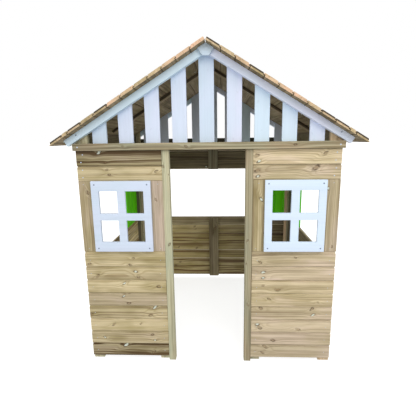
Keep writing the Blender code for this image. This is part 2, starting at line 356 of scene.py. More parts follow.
class Wiring:
    """Short ways to wire up one material."""

    def __init__(self, name):
        self.material = bpy.data.materials.new(name)
        self.material.use_nodes = True
        self.nodes = self.material.node_tree.nodes
        self.links = self.material.node_tree.links
        self.shader = self.nodes["Principled BSDF"]

    def feed(self, socket, value):
        """Links a socket to a signal, or sets it to a plain value. Three numbers are a screen's colour."""
        if isinstance(value, Signal):
            self.links.new(value.socket, socket)
        elif isinstance(value, tuple) and len(value) == 3:
            socket.default_value = srgb(*value)
        else:
            socket.default_value = value

    def finish(self, name, value):
        """Feeds one of the shader's own sockets."""
        self.feed(self.shader.inputs[name], value)

    def node(self, kind, *values, **settings):
        """A new node, with these settings, whose first inputs take these values."""
        node = self.nodes.new(f"ShaderNode{kind}")
        for name, setting in settings.items():
            setattr(node, name, setting)
        for socket, value in zip(node.inputs, values):
            self.feed(socket, value)
        return node

    def math(self, operation, *values, clamp=False):
        return Signal(self, self.node("Math", *values, operation=operation, use_clamp=clamp))

    def vector(self, *values):
        return Signal(self, self.node("CombineXYZ", *values))

    def stretch(self, place, lengthwise, crosswise):
        """A place in the grain, scaled along it and across it."""
        along, across, deep = place
        return self.vector(along * lengthwise, across * crosswise, deep * crosswise)

    def number(self, name, output="Fac"):
        """An attribute that is one number."""
        return Signal(self, self.node("Attribute", attribute_name=name), output)

    def attribute(self, name):
        """The three parts of a vector attribute."""
        parts = self.node("SeparateXYZ", self.number(name, "Vector"))
        return tuple(Signal(self, parts, axis) for axis in range(3))

    def noise(self, place, detail=2.0, roughness=0.5, scale=1.0):
        node = self.node("TexNoise", place)
        node.inputs["Scale"].default_value = scale
        node.inputs["Detail"].default_value = detail
        node.inputs["Roughness"].default_value = roughness
        return Signal(self, node)

    def span(self, value, low, high, low_out=0.0, high_out=1.0, kind="SMOOTHSTEP"):
        """The value's place between two limits, held inside them."""
        limits = (low, high, low_out, high_out)
        return Signal(self, self.node("MapRange", value, *limits, interpolation_type=kind))

    def mix(self, share, first, second):
        node = self.node("Mix", share, data_type="RGBA", clamp_factor=True)
        self.feed(node.inputs[6], first)
        self.feed(node.inputs[7], second)
        return Signal(self, node, 2)

    def brighten(self, colour, amount):
        """The colour times one number."""
        node = self.node("VectorMath", colour, operation="SCALE")
        self.feed(node.inputs["Scale"], amount)
        return Signal(self, node)

    def bump(self, height, distance, strength):
        node = self.node("Bump")
        node.inputs["Strength"].default_value = strength
        node.inputs["Distance"].default_value = distance
        self.feed(node.inputs["Height"], height)
        self.finish("Normal", Signal(self, node))


def wood_figure(net):
    """What the plank's attributes say about its grain: the growth rings, bent round the knots, the broad
    streaks, the fine fibres, and the knots themselves."""
    along, across, deep = place = net.attribute("grain")
    slow = net.stretch(place, 1.6, 7.0)
    sway = net.noise(slow, detail=1.5) - 0.5
    shiver = net.noise(net.stretch(place, 9.0, 30.0), detail=1.0) - 0.5
    ragged = net.noise(slow, scale=22.0) - 0.5

    swell, core, rim, pale = 0.0, 0.0, 0.0, 0.0
    for name in KNOT_MARKS:
        knot_along, knot_across, knot_size = net.attribute(name)
        radius = net.math("MAXIMUM", net.math("ABSOLUTE", knot_size), 0.0002)
        shift = along - knot_along
        lean = shift * net.math("SINE", knot_along * 37.0) * 0.55
        run = shift / (radius * 1.25)
        step = (across - knot_across + lean) / (radius * 0.8)
        away = net.math("SQRT", run * run + step * step) + ragged * 1.6
        reach = run * run * 0.05 + step * step * 0.16
        swell = net.math("EXPONENT", reach * -1.0) * radius * 1.1 + swell
        centre = net.span(away, 0.55, 1.05, 1.0, 0.0)
        core = net.math("MAXIMUM", centre, core)
        ring = net.span(away, 0.55, 0.95) * net.span(away, 1.1, 1.9, 1.0, 0.0)
        rim = net.math("MAXIMUM", ring * net.span(ragged, -0.15, 0.1), rim)
        pale = net.math("MAXIMUM", centre * net.math("LESS_THAN", knot_size, -0.0005), pale)

    across_now = across + sway * 0.034 + shiver * 0.0014
    deep_now = deep + sway * 0.018
    radius = net.math("SQRT", across_now * across_now + deep_now * deep_now)
    ring_place = net.math("FRACT", (radius + swell) / RING_SPACING)
    streaks = (along, across_now + swell, deep_now)
    fine_place = net.stretch((along, across_now, deep_now), 14.0, 420.0)
    return {
        "rings": net.span(ring_place, 0.35, 0.86) * net.span(ring_place, 0.9, 1.0, 1.0, 0.0),
        "broad": net.noise(net.stretch(streaks, 1.1, 30.0), detail=2.5, roughness=0.55),
        "thin": net.span(net.noise(net.stretch(streaks, 0.8, 120.0), detail=1.0), 0.54, 0.7),
        "dark": net.noise(net.stretch(streaks, 0.7, 62.0)),
        "patches": net.noise(net.stretch(place, 4.5, 13.0)),
        "fibres": net.noise(fine_place, roughness=0.65),
        "core": core,
        "rim": rim,
        "pale": pale,
    }


def bare_timber(name, early, late, olive, pink, heartwood, roughness=0.72, joint_start=0.55):
    """Pressure-treated pine: pale wood between darker rings, olive and pink patches, dark heartwood in some
    planks, knots with a dark rim, and a raised grain."""
    net = Wiring(name)
    figure = wood_figure(net)
    patches, fibres = figure["patches"], figure["fibres"]
    light, hue, heart = net.attribute("tone")
    colour = net.mix(figure["rings"] * 0.48, early, late)
    colour = net.mix(net.span(figure["broad"], 0.42, 0.68) * 0.42, colour, olive)
    greenish = hue * -0.45 + net.span(patches, 0.45, 0.75, -0.15, 0.5)
    colour = net.mix(net.math("MAXIMUM", greenish, 0.0, clamp=True), colour, olive)
    pinkish = hue * 0.8 + net.span(patches, 0.55, 0.3, -0.2, 0.25)
    colour = net.mix(net.math("MAXIMUM", pinkish, 0.0, clamp=True), colour, pink)
    band = net.span(figure["dark"], 0.44, 0.6) * net.math("MINIMUM", heart, 1.0)
    colour = net.mix(band, colour, heartwood)
    colour = net.mix(figure["thin"] * 0.36, colour, heartwood)
    fibre = net.span(fibres, 0.25, 0.75, 0.88, 1.1, kind="LINEAR")
    mottle = net.span(patches, 0.25, 0.75, 1.12, 0.88, kind="LINEAR")
    colour = net.brighten(colour, fibre * mottle * (light * 0.28 + 1.0))
    depth = net.number("joint")
    # Knot colours, then painted light: a painted highlight along the upper edge of an inner face and
    # painted shade deep in the joints and under the header; last, the darker upper half of some roof board
    # ends.
    for share, tint in (
        (figure["core"] * 0.5, (132, 104, 66)),
        (figure["rim"] * 0.85, (70, 50, 28)),
        (figure["pale"] * 0.8, (222, 232, 218)),
        (net.span(depth * -1.0, 0.15, 0.75, 0.0, 0.95), (226, 214, 186)),
        (net.span(depth, joint_start, 0.98, 0.0, 0.86), (60, 46, 28)),
        (net.span(net.number("darkened_end"), 0.45, 0.62) * 0.93, (40, 31, 22)),
    ):
        colour = net.mix(share, colour, tint)
    net.finish("Base Color", colour)
    rough = net.span(fibres, 0.2, 0.8, roughness - 0.08, roughness + 0.08)
    net.finish("Roughness", rough - figure["core"] * 0.18)
    net.finish("Specular IOR Level", 0.3)
    net.bump(figure["rings"] * 0.55 + fibres * 0.6 + figure["rim"] * -0.5, 0.0007, 0.6)
    return net.material


def painted_timber(name, base, cool, warm, show, roughness, shine=0.4):
    """Paint over wood: the grain and knots just show through, with brush marks along the plank and a
    slightly different tint on each plank."""
    net = Wiring(name)
    figure = wood_figure(net)
    patches, fibres = figure["patches"], figure["fibres"]
    light, hue, _ = net.attribute("tone")
    colour = net.mix(net.math("MAXIMUM", hue * -0.7, 0.0), base, cool)
    colour = net.mix(net.math("MAXIMUM", hue * 0.7, 0.0), colour, warm)
    colour = net.mix(net.span(patches, 0.35, 0.75) * 0.35, colour, cool)
    grain = figure["rings"] * (-0.6 * show)
    brush = net.span(fibres, 0.2, 0.8, -0.5 * show, 0.4 * show, kind="LINEAR")
    streak = net.span(figure["broad"], 0.45, 0.75, 0.0, -1.0 * show)
    knots = net.math("MAXIMUM", figure["rim"], figure["core"]) * (-1.6 * show)
    lightness = light * 0.1 + 1.0 + grain + brush + streak + knots
    net.finish("Base Color", net.brighten(colour, lightness))
    net.finish("Roughness", net.span(patches, 0.3, 0.8, roughness - 0.06, roughness + 0.08))
    net.finish("Specular IOR Level", shine)
    net.bump(figure["rings"] * 0.35 + fibres * 0.45 + figure["rim"] * -0.4, 0.0004, 0.5)
    return net.material


def zinc_plating(name):
    """Bright zinc with a bluish bloom and fine scratches, which a fastener's tone makes darker."""
    net = Wiring(name)
    place = net.vector(*net.attribute("grain"))
    dull, _, _ = net.attribute("tone")
    bloom = net.noise(place, detail=3.0, scale=420.0)
    colour = net.mix(net.span(bloom, 0.35, 0.7), (214, 222, 232), (150, 165, 188))
    net.finish("Base Color", net.mix(dull, colour, (62, 74, 102)))
    net.finish("Metallic", 0.85)
    net.finish("Roughness", net.span(bloom, 0.3, 0.7, 0.28, 0.5))
    net.bump(net.noise(place, scale=900.0), 0.0002, 0.4)
    return net.material


CLADDING = bare_timber(
    "cladding_wood",
    early=(214, 198, 158),
    late=(160, 136, 92),
    olive=(164, 148, 92),
    pink=(214, 194, 174),
    heartwood=(104, 80, 46),
)
FRAMING = bare_timber(
    "frame_wood",
    early=(204, 194, 160),
    late=(158, 142, 98),
    olive=(188, 192, 162),
    pink=(190, 160, 128),
    heartwood=(112, 92, 58),
    roughness=0.76,
)
ROOFING = bare_timber(
    "roof_wood",
    early=(200, 178, 144),
    late=(150, 124, 88),
    olive=(142, 128, 80),
    pink=(208, 170, 142),
    heartwood=(100, 78, 48),
    roughness=0.78,
    joint_start=0.3,
)
WHITE_PAINT = painted_timber(
    "white_painted_wood",
    base=(219, 231, 250),
    cool=(204, 226, 238),
    warm=(226, 226, 246),
    show=0.035,
    roughness=0.46,
)
GREEN_PAINT = painted_timber(
    "green_painted_wood",
    base=(94, 202, 3),
    cool=(64, 184, 10),
    warm=(106, 210, 0),
    show=0.06,
    roughness=0.6,
    shine=0.15,
)
ZINC = zinc_plating("zinc_plating")


# ---- walls


# Knots on the front boards, from the lowest board up: hundredths of the length from the left, hundredths
# of the height, and radius in millimetres, below zero for a pale, resinous one.
FRONT_KNOTS = {
    "left": (
        ((44, 86, -11), (80, 30, 8)),
        ((79, 72, 7), (82, 28, -6), (17, 47, -6)),
        ((30, 52, 7), (65, 60, 5)),
        ((84, 88, -9), (78, 27, 8), (2, 33, 8)),
        ((45, 74, -7), (51, 20, 8)),
        ((47, 72, -7), (90, 50, 9)),
        ((62, 60, -8), (65, 20, 7), (14, 28, 7)),
        ((60, 58, 6), (56, 8, 7), (5, 17, 7)),
        ((35, 75, 5), (37.5, 42, 6), (93, 62, 7)),
        ((27.5, 90, -10), (34, 20, 5)),
    ),
    "right": (
        ((18, 86, 9), (15, 38, 7)),
        ((28, 38, 9),),
        ((8, 62, -9), (11, 35, 9), (59, 26, 9)),
        ((75, 84, 8), (76.5, 40, -8), (12, 86, 8)),
        ((22, 58, 7), (82, 35, 5)),
        ((32, 30, 10), (14, 60, 6)),
        ((14, 60, -9), (14, 18, -7)),
        ((10, 32, 7), (52, 66, 5)),
        ((4.5, 62, 10), (5.5, 24, -8), (71, 76, 13)),
        ((4, 58, 10), (6.5, 20, -8), (81, 68, 9)),
    ),
}
# Tone of the same boards: lightness, pink above zero and green below it, and dark heartwood.
FRONT_TONES = {
    "left": (
        (-1.15, -0.05, 1.0),
        (-0.35, 0.0, 0.3),
        (0.15, 0.15, 0.05),
        (-0.3, -0.35, 0.5),
        (-0.6, 0.45, 0.25),
        (0.1, -0.3, 0.1),
        (-0.05, -0.25, 0.35),
        (-0.05, -0.25, 0.1),
        (-0.15, -0.2, 0.1),
        (-1.2, 0.1, 1.0),
    ),
    "right": (
        (-0.5, 0.6, 0.3),
        (-0.25, 0.6, 0.3),
        (0.15, 0.7, 0.2),
        (-0.05, 0.6, 0.25),
        (0.2, 0.35, 0.35),
        (0.4, 0.45, 0.2),
        (0.18, 0.75, 0.3),
        (-0.05, 0.55, 0.4),
        (-0.05, 0.4, 0.45),
        (0.62, 0.4, 0.1),
    ),
}
# Knots on the lower back boards, as above, from the house's right end.
BACK_KNOTS = (
    ((30, 50, 6), (85, 40, 6)),
    ((73, 55, 8), (76, 14, 6)),
    ((20, 40, 6),),
    ((61.4, 27, 8), (73.5, 38, 5), (12, 60, 7)),
    ((90, 60, 6),),
    ((62.6, 84, 7), (62.1, 54, 6), (25, 40, 5)),
    ((10, 50, 6),),
)
# Inner faces of the lower back boards, from the lowest board up: painted light and shade as the lightness
# at the house's right end and at its left end, pink above zero and green below it, and dark heartwood.
BACK_INSIDE_SHADING = (
    (-5.6, 2.4, -1.8, 0.9),
    (-5.4, 2.4, -1.8, 0.9),
    (-4.8, 2.5, -1.8, 0.9),
    (-3.9, 4.2, -2.0, 0.6),
    (-3.4, 3.9, -2.0, 0.6),
    (-3.2, 3.7, -1.8, 0.5),
    (-2.8, 0.2, 0.4, 0.6),
)


def level_boards(node, outward, tops, knots=None, tones=None, last_tongue=0.0, inside=None, ledge_highlight=()):
    """Fills a CAD panel with level shiplap boards. tops are the heights of their upper edges above the
    panel's foot, and last_tongue is how much of the last board's tongue stays bare above it. inside is
    what two_faced takes, the painted light and shade of the inner faces, for all the boards or for each,
    and the last argument, a painted highlight, says how pale the upper edge of each inner face is."""
    piece = Piece()
    to_world, (length, _, thick) = measure(node, UP.cross(outward), outward)
    bottom = 0.0
    for index, top in enumerate(tops):
        high = top - bottom
        last = index == len(tops) - 1
        settle = random.uniform(0.0, 0.0006)
        step = Matrix.Translation((random.uniform(0.0, 0.0012), bottom, -settle))
        board_knots = random_knots(length, high)
        if knots:
            shares = ((run / 100.0, up / 100.0, size / 1000.0) for run, up, size in knots[index])
            board_knots = [(run * length, up * high, radius) for run, up, radius in shares]
        tone = tones[index] if tones else random_tone()
        board = length - random.uniform(0.0012, 0.0024)
        if inside:
            face = inside[index] if isinstance(inside[0], tuple) else inside
            tone = two_faced(tone, face, thick, board)
        joint = shiplap_joint(
            high,
            board,
            bare_top=last and last_tongue > 0.0,
            ledge_highlight=ledge_highlight[index] if index < len(ledge_highlight) else FAINT_LEDGE_HIGHLIGHT,
            under_beam=last and last_tongue == 0.0,
        )
        section = shiplap_section(high, thick, last_tongue if last else LAP)
        piece.add(plank_shape(section, board), to_world @ step, board_knots, tone, joint=joint)
        bottom = top
    piece.finish(f"planks_{node}", CLADDING, [node])


def two_faced(outer, inside, thick, length):
    """The tone of a board with another inner face, whose lightness is painted light and shade. inside is
    how light that face is at the start of the board's length and at its end, how pink or green it is, and
    how much dark heartwood it has."""
    start, end, hue, heart = inside
    change = random.uniform(-0.3, 0.3)
    hue += random.uniform(-0.4, 0.4)
    heart += random.uniform(-0.2, 0.5)

    def tone(place):
        if place.z > thick / 2.0:
            return outer
        light = start + (end - start) * place.x / length + change
        return (min(INSIDE_BRIGHTEST, max(INSIDE_DARKEST, light)), hue, heart)

    return tone


def upright_boards(node, outward, count, material, tone, joint=0.0008):
    """Fills a CAD panel with upright boards of equal width."""
    piece = Piece()
    to_world, (length, wide, thick) = measure(node, UP, outward)
    each = wide / count
    for index in range(count):
        shape = plank_shape(squared_section(each - joint, thick, 0.0018), length)
        step = Matrix.Translation((0.0, index * each + joint / 2.0, -random.uniform(0.0, 0.0005)))
        piece.add(shape, to_world @ step, random_knots(length, each), tone)
    piece.finish(f"planks_{node}", material, [node])


def timber(node, along, outward, material, tone, knots=None):
    """One squared timber in the exact shape of its CAD node, with eased edges."""
    piece = Piece()
    to_world, (length, wide, _) = measure(node, along, outward)
    shape = node_shape(node, PAINTED_EASE if material == WHITE_PAINT else TIMBER_EASE)
    if knots is None:
        knots = random_knots(length, wide, 1.3, 0.007)
    piece.add(shape, Matrix.Identity(4), knots, tone, local=to_world.inverted())
    piece.finish(f"timber_{node}", material, [node])


def equal_tops(node, count, lip=0.0):
    """The upper edges of equal boards that fill a CAD node's height, less the bare lip of the last."""
    return [(height_of(node) - lip) * (index + 1) / count for index in range(count)]


def height_of(node):
    low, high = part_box(node)
    return high.z - low.z


def build_front():
    jamb_tones = {
        "left": {"outer": (-0.6, 0.15, 0.3), "inner": (-0.6, 0.85, 0.2)},
        "right": {"outer": (-0.6, 0.4, 0.3), "inner": (-0.35, -0.35, 0.3)},
    }
    below = slice(FRONT_SILL_BOARDS)
    above = slice(FRONT_SILL_BOARDS, None)
    for side in SIDES:
        knots, tones = FRONT_KNOTS[side], FRONT_TONES[side]
        node = f"front_{side}_lower_boards"
        tops = equal_tops(node, FRONT_SILL_BOARDS, BARE_LIP)
        level_boards(node, FRONT, tops, knots[below], tones[below], BARE_LIP)
        node = f"front_{side}_upper_boards"
        tops = equal_tops(node, FRONT_HEAD_BOARDS)
        level_boards(node, FRONT, tops, knots[above], tones[above])
        for place, tone in jamb_tones[side].items():
            upright_boards(f"front_{side}_{place}_jamb_board", FRONT, 1, CLADDING, tone)


def build_back():
    node = "back_lower_boards"
    tops = equal_tops(node, SILL_BOARDS)
    # A painted highlight along the upper edge of each inner face, board by board.
    ledge_highlight = (0.2, 0.7, 0.75, 0.25, 0.35, 0.5, 0.0)
    level_boards(node, BACK, tops, BACK_KNOTS, inside=BACK_INSIDE_SHADING, ledge_highlight=ledge_highlight)
    build_lintel("back_upper_boards", BACK)


def build_lintel(node, outward):
    """The boards above an opening: full ones between a lowest and a last one that are sawn narrower."""
    lowest, full = 0.079, 0.0838
    tops = [lowest, lowest + full]
    while tops[-1] + full < height_of(node):
        tops.append(tops[-1] + full)
    tops.append(height_of(node))
    # Their inner faces are painted darker, a painted shade, with a painted highlight along some upper
    # edges.
    level_boards(node, outward, tops, inside=(-2.0, -1.9, -0.9, 0.4), ledge_highlight=(0.2, 1.0, 0.4))


def edge_shaded(node, tone, dark):
    """The tone of a timber whose face to the front is painted dark, a painted shade."""
    low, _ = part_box(node)

    def tone_at(place):
        return (dark, tone[1], tone[2]) if place.y < low.y + TIMBER_EASE / 4.0 else tone

    return tone_at


def build_side(side, outward):
    node = f"{side}_side_lower_boards"
    # The inner faces get painted light and shade; the left side's is much lighter at one end than at the
    # other.
    inside, ledge_highlight = {
        "left": ((5.2, -4.6, 0.0, 0.8), (0.6,) * SILL_BOARDS),
        "right": ((-1.6, -1.6, -0.4, 0.5), ()),
    }[side]
    level_boards(node, outward, equal_tops(node, SILL_BOARDS), inside=inside, ledge_highlight=ledge_highlight)
    build_lintel(f"{side}_side_upper_boards", outward)
    for end in ("front", "back"):
        node = f"{side}_side_{end}_batten"
        timber(node, UP, outward, FRAMING, edge_shaded(node, (-1.0, 0.0, 0.4), -2.6))


def build_green_panels():
    """Four upright boards in each panel, whose inner faces are painted lighter, a painted light, most of
    all on the left side.
    """
    for node, outward, inner in (
        ("back_left_green_panel", BACK, 1.6),
        ("back_right_green_panel", BACK, 1.6),
        ("left_side_green_panel", LEFT, 2.8),
        ("right_side_green_panel", RIGHT, 1.6),
    ):
        outer = random.uniform(-0.3, 0.3)
        _, (_, _, thick) = measure(node, UP, outward)

        def tone(place, outer=outer, inner=inner, thick=thick):
            return (outer if place.z > thick / 2.0 else inner, 0.0, 0.0)

        upright_boards(node, outward, 4, GREEN_PAINT, tone, joint=0.0016)


# ---- frame


HEADER_KNOTS = [(0.28, 0.02, 0.005), (0.62, 0.018, 0.006), (1.2, 0.022, 0.006)]


def header_tone(place):
    """The front header is darker towards its left end."""
    return (-0.8 + 0.75 * place.x, 0.25, 0.55)


def build_frame():
    post_tones = {"left": (-0.15, -1.0, 0.0), "right": (-1.05, 0.3, 0.45)}
    # The right corner battens are painted lighter and pinker, a painted light on their tops, which show lit
    # in the gable.
    corner_tones = {"left": (-0.1, -0.5, 0.2), "right": (1.0, 1.1, 0.1)}
    for side in SIDES:
        timber(f"{side}_door_post", UP, FRONT, FRAMING, post_tones[side])
        timber(f"front_{side}_inner_batten", UP, FRONT, FRAMING, random_tone(-0.4))
        for wall, outward in WALLS:
            timber(f"{wall}_{side}_corner_batten", UP, outward, FRAMING, corner_tones[side])
    for wall, outward in WALLS:
        node = f"{wall}_header"
        tone = header_tone if wall == "front" else edge_shaded(node, (-0.35, 0.35, 0.45), -3.1)
        timber(node, RIGHT, outward, FRAMING, tone, HEADER_KNOTS)
    knots = [(0.48, 0.03, 0.01), (0.43, 0.05, 0.006)]
    timber("back_centre_batten", UP, FRONT, CLADDING, (-1.9, -0.5, 0.5), knots)
    build_short_batten()


def build_short_batten():
    """The centre batten goes on above the back opening, behind the boards there."""
    batten_low, batten_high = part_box("back_centre_batten")
    boards_low, boards_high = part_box("back_upper_boards")
    section = squared_section(batten_high.x - batten_low.x, batten_high.y - batten_low.y, TIMBER_EASE)
    to_world, _ = measure("back_centre_batten", UP, FRONT)
    lift = Matrix.Translation((boards_low.z - batten_low.z, 0.0, 0.0))
    piece = Piece()
    shape = plank_shape(section, boards_high.z - boards_low.z)
    piece.add(shape, to_world @ lift, tone=(-1.9, 0.0, 0.5))
    piece.finish("timber_back_short_batten", FRAMING)


# ---- gables and windows


def slope_lines(side):
    """The top of one roof slope, the way down it in the plane of the gable, and the way out of its
    underside."""
    points = [vert.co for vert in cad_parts[f"roof_{side}_boards"].data.vertices]
    eave = min(points, key=lambda point: point.z)
    ridge = min(points, key=lambda point: abs(point.x) + 0.001 * point.z)
    down = Vector((eave.x - ridge.x, 0.0, eave.z - ridge.z)).normalized()
    return ridge, down, Vector((down.z, 0.0, -down.x)) * SIDES[side]


def build_gables():
    slats = ((-0.2, -0.3), (0.1, 0.3), (0.2, 0.4), (0.2, 0.2), (-0.1, -0.2))
    slats += ((0.5, 0.8), (1.1, -0.9), (1.1, -0.8), (1.0, 0.4))
    # Both rafters are painted lighter, a painted light against the shade of the roof overhang.
    rafter_tones = {"left": (1.6, -1.2, 0.0), "right": (1.7, 0.7, 0.0)}
    for wall, outward in WALLS:
        for number, (light, hue) in enumerate(slats, start=1):
            timber(f"{wall}_slat_{number}", UP, outward, WHITE_PAINT, (light, hue, 0.0))
        for side, tone in rafter_tones.items():
            _, down, _ = slope_lines(side)
            timber(f"{wall}_{side}_rafter", down, outward, WHITE_PAINT, tone)
    build_apex_plates()


def build_apex_plates():
    """The plate over the joint of the rafters, in front, and its twin at the back."""
    node = "front_apex_plate"
    tone = (0.3, -0.8, 0.0)
    timber(node, RIGHT, FRONT, WHITE_PAINT, tone, knots=[])
    piece = Piece()
    to_world, _ = measure(node, RIGHT, FRONT)
    turned = Matrix.Rotation(math.pi, 4, "Z")
    piece.add(node_shape(node, PAINTED_EASE), turned, tone=tone, local=to_world.inverted())
    piece.finish("timber_back_apex_plate", WHITE_PAINT)


def build_window_frames():
    """Each frame is one plate with four square panes cut through it."""
    pane_wide, pane_high = 0.103, 0.127
    mullion, transom = 0.045, 0.04
    # The left frame is painted darker and the right one lighter, a painted shade and a painted light.
    tones = {"left": (-0.7, 0.1, 0.0), "right": (0.7, -0.4, 0.0)}
    for side, tone in tones.items():
        node = f"{side}_window_frame"
        to_world, (wide, high, thick) = measure(node, RIGHT, FRONT)
        stile = (wide - mullion) / 2.0 - pane_wide
        rail = (high - transom) / 2.0 - pane_high
        columns = (0.0, stile, stile + pane_wide, wide - stile - pane_wide, wide - stile, wide)
        rows = (0.0, rail, rail + pane_high, high - rail - pane_high, high - rail, high)
        shape = bmesh.new()
        grid = [[shape.verts.new((across, up, 0.0)) for across in columns] for up in rows]
        for row, (lower, upper) in enumerate(zip(grid, grid[1:])):
            for column in range(len(columns) - 1):
                pane = row % 2 and column % 2
                if not pane:
                    shape.faces.new((lower[column], lower[column + 1], upper[column + 1], upper[column]))
        grown = bmesh.ops.extrude_face_region(shape, geom=shape.faces)
        raised = [item for item in grown["geom"] if isinstance(item, bmesh.types.BMVert)]
        bmesh.ops.translate(shape, verts=raised, vec=(0.0, 0.0, thick))
        bmesh.ops.recalc_face_normals(shape, faces=shape.faces)
        ease_edges(shape, PAINTED_EASE)
        piece = Piece()
        piece.add(shape, to_world, tone=tone, pith=(0.12, -0.3))
        piece.finish(f"plate_{node}", WHITE_PAINT, [node])


# ---- roof


# For each roof board from the ridge down: tone, how far its front end stands out in millimetres, and
# whether the upper half of that end is dark.
ROOF_ENDS = {
    "left": (
        (0.3, 0.9, 0.0, 1, 0),
        (0.2, 0.9, 0.0, 0, 0),
        (0.2, 0.6, 0.1, 1, 0),
        (0.4, 0.0, 0.1, 2, 0),
        (0.3, 0.2, 0.0, 0, 0),
        (0.4, 0.5, 0.0, 1, 0),
        (0.2, 0.6, 0.0, 0, 0),
        (-0.2, -0.2, 0.3, 0, 1),
        (-0.3, -0.7, 0.4, -2, 0),
        (-0.3, -0.2, 0.5, 0, 1),
        (0.3, 0.2, 0.1, 1, 0),
        (-0.4, -0.1, 0.6, -1, 1),
    ),
    "right": (
        (0.0, 0.0, 0.1, -3, 1),
        (0.4, 0.2, 0.0, 5, 0),
        (0.2, 0.7, 0.0, 2, 0),
        (0.2, -0.3, 0.0, -2, 1),
        (0.4, 0.5, 0.0, 4, 0),
        (0.2, 0.8, 0.0, 2, 0),
        (0.2, 0.9, 0.0, 1, 0),
        (0.0, 0.3, 0.2, 0, 0),
        (0.1, 0.5, 0.1, -1, 1),
        (0.1, 0.3, 0.2, -1, 1),
        (0.3, 0.0, 0.1, 1, 0),
        (-0.1, -0.6, 0.4, 0, 1),
    ),
}


def roof_cuts(length):
    """Distances down the slope of the joints between the roof boards."""
    cover, narrow, full_boards = 0.0844, 0.0385, 10
    cuts = [cover * index for index in range(full_boards + 1)]
    cuts.append(cuts[-1] + narrow)
    cuts.append(length)
    return cuts


def build_roof_battens():
    """A batten under the middle of each slope, which holds its boards together."""
    wide, thick, front = 0.07, 0.018, -0.155
    start, length = 0.013, 0.775
    for side in SIDES:
        ridge, down, under = slope_lines(side)
        turn = Matrix((down, under.cross(down), under)).transposed().to_4x4()
        edge = front if side == "left" else front + wide
        corner = Vector((ridge.x, edge, ridge.z)) + down * start + under * FIT

        def tone(place, side=side):
            """The face to the front is painted dark, a painted shade."""
            at_front = place.y < FIT if side == "left" else place.y > wide - FIT
            return (-2.6, -0.5, 0.6) if at_front else (-0.7, -0.3, 0.5)

        piece = Piece()
        shape = plank_shape(squared_section(wide, thick, 0.0015), length)
        piece.add(shape, Matrix.Translation(corner) @ turn, random_knots(length, wide), tone)
        piece.finish(f"timber_roof_{side}_middle_batten", ROOFING)


def roof_looks(tone, dark, front_end, thick):
    """The tone and the darkened end of a roof board. Its underside is painted a darker greenish brown,
    partly its own colour and partly painted shade, its front end is painted paler, a painted highlight, and
    the upper half of a dark end is painted darker."""
    light, hue, heart = tone
    lit_end_tone = (light + 0.7, hue, 0.0)
    top = (light, hue * 0.5 - 0.1, heart)
    under = random_tone(-0.9, -0.8, 0.35, 0.6)

    def at_end(place):
        return abs(place.x - front_end) < BOARD_EASE / 2.0

    def tone_at(place):
        if at_end(place):
            return lit_end_tone
        return under if place.z > thick / 2.0 else top

    def darkened_end_at(place):
        return 1.0 - place.z / thick if dark and at_end(place) else 0.0

    return tone_at, darkened_end_at


def build_roof():
    """Boards from front to back, with the hollows of their joints on the underside."""
    for side in SIDES:
        node = f"roof_{side}_boards"
        _, _, under = slope_lines(side)
        along = BACK if side == "left" else FRONT
        to_world, (length, slope_length, thick) = measure(node, along, under)
        piece = Piece()
        cuts = roof_cuts(slope_length)
        for (*tone, proud, dark), upper, lower in zip(ROOF_ENDS[side], cuts, cuts[1:]):
            high = lower - upper
            section = shiplap_section(high, thick, 0.0 if upper == 0.0 else LAP, ROOF_FINE)
            front = proud / 1000.0
            rear = random.uniform(-0.003, 0.003)
            board = length + front + rear
            start = -front if side == "left" else -rear
            step = Matrix.Translation((start, slope_length - lower, -random.uniform(0.0, 0.0008)))
            tone_at, darkened_end_at = roof_looks(tone, dark, 0.0 if side == "left" else board, thick)
            knots = random_knots(board, high, 1.4)
            joint = shiplap_joint(high, board, fine=ROOF_FINE)
            piece.add(plank_shape(section, board), to_world @ step, knots, tone_at, darkened_end_at, joint)
        piece.finish(f"planks_{node}", ROOFING, [node])


# ---- fasteners


def head_shape(radius, recess):
    """A fastener's head, facing Z, with a cross recess or a shallow dimple."""
    shape = bmesh.new()
    steps = 16
    profile = ((0.96, -0.0008), (1.0, HEAD_HIGH * 0.3), (0.86, HEAD_HIGH * 0.85), (0.66, HEAD_HIGH))
    circles = [[(radius * share, height)] * steps for share, height in profile]
    if recess:
        sunk = 0.0014
        mouth = [radius * (0.2 if step % (steps // 4) else 0.56) for step in range(steps)]
    else:
        sunk = 0.0003
        mouth = [radius * 0.4] * steps
    circles.append([(reach, HEAD_HIGH) for reach in mouth])
    circles.append([(reach * 0.8, HEAD_HIGH - sunk) for reach in mouth])
    loops = []
    for circle in circles:
        loop = []
        for step, (reach, height) in enumerate(circle):
            angle = 2.0 * math.pi * step / steps
            loop.append(shape.verts.new((reach * math.cos(angle), reach * math.sin(angle), height)))
        loops.append(loop)
    for lower, upper in zip(loops, loops[1:]):
        for index in range(steps):
            following = (index + 1) % steps
            shape.faces.new((lower[index], lower[following], upper[following], upper[index]))
    shape.faces.new(loops[0][::-1])
    shape.faces.new(loops[-1])
    bmesh.ops.recalc_face_normals(shape, faces=shape.faces)
    return shape


def add_head(piece, place, outward, radius, recess=False, tone=PLAIN):
    turn = outward.to_track_quat("Z", "Y").to_matrix().to_4x4()
    spin = Matrix.Rotation(random.uniform(0.0, math.pi), 4, "Z")
    piece.add(head_shape(radius, recess), Matrix.Translation(place) @ turn @ spin, tone=tone)


def build_window_screws():
    """One screw in each corner of both window frames."""
    from_edge = 0.02
    piece = Piece()
    for side in SIDES:
        low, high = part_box(f"{side}_window_frame")
        for across in (low.x + from_edge, high.x - from_edge):
            for up in (low.z + from_edge, high.z - from_edge):
                add_head(piece, Vector((across, low.y, up)), FRONT, SCREW_RADIUS, True, DULL)
    piece.finish("screws_window_frames", ZINC)


